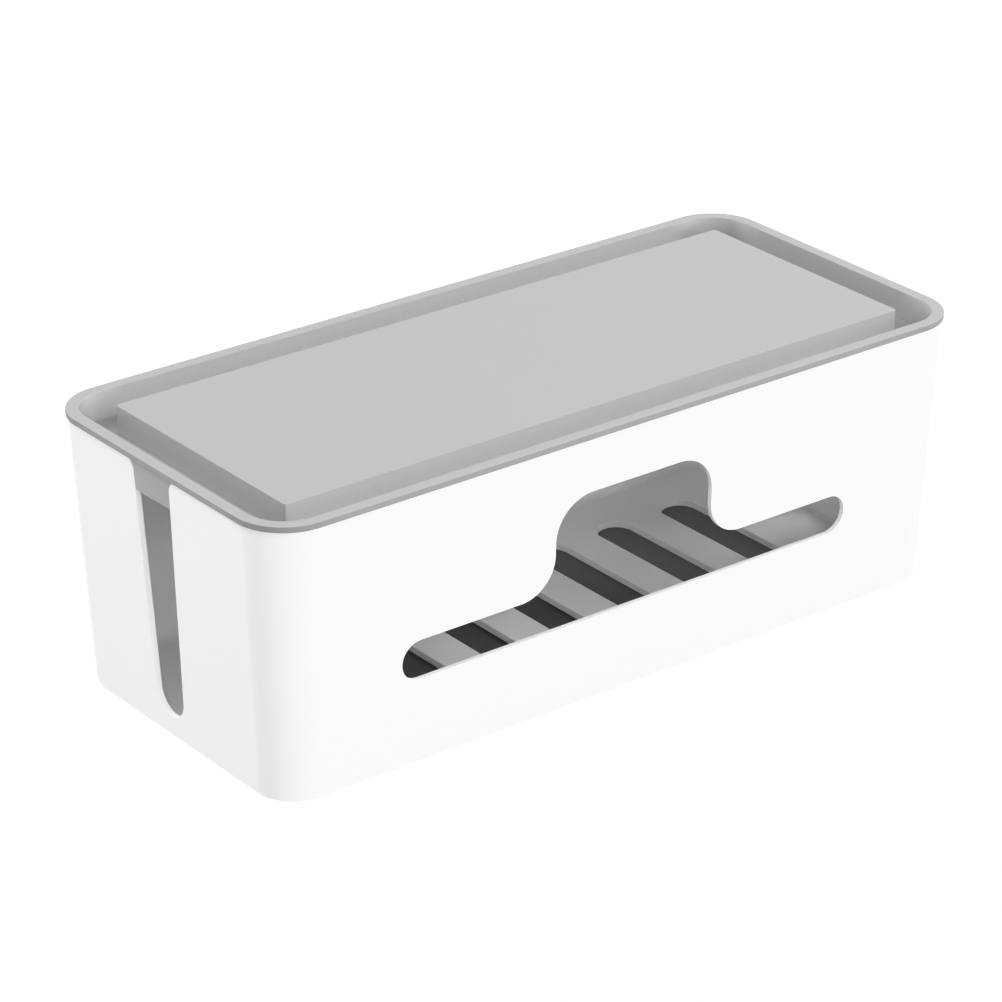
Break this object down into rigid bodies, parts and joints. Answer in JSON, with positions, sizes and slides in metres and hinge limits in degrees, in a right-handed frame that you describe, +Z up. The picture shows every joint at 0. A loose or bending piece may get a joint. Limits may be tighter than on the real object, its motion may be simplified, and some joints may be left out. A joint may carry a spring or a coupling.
{
  "type": "cable management box",
  "caption": "Long open box with a front access window, end cord slots and a vented floor, closed by a lift-off lid with a raised platform in a trough.",
  "frame": {"origin": "on the table, under the middle of the box", "axes": "+X along the length, to the right as seen from the side with the access window; +Y to the back; +Z up"},
  "size_m": [0.32, 0.1436, 0.1111],
  "materials": {
    "white_plastic": "fine satin, lightly textured by the mould",
    "grey_plastic": "fine satin, lightly textured by the mould",
    "foot_rubber": "matt, soft"
  },
  "bodies": {
    "box": {"box": "white_plastic", "front_left_foot": "foot_rubber", "front_right_foot": "foot_rubber", "rear_left_foot": "foot_rubber", "rear_right_foot": "foot_rubber"},
    "lid": {"lid": "grey_plastic"}
  },
  "joints": [
    {"name": "lid_lift", "type": "slide", "parent": "box", "child": "lid", "axis": [0, 0, 1], "range_m": [0, 0.06]}
  ]
}
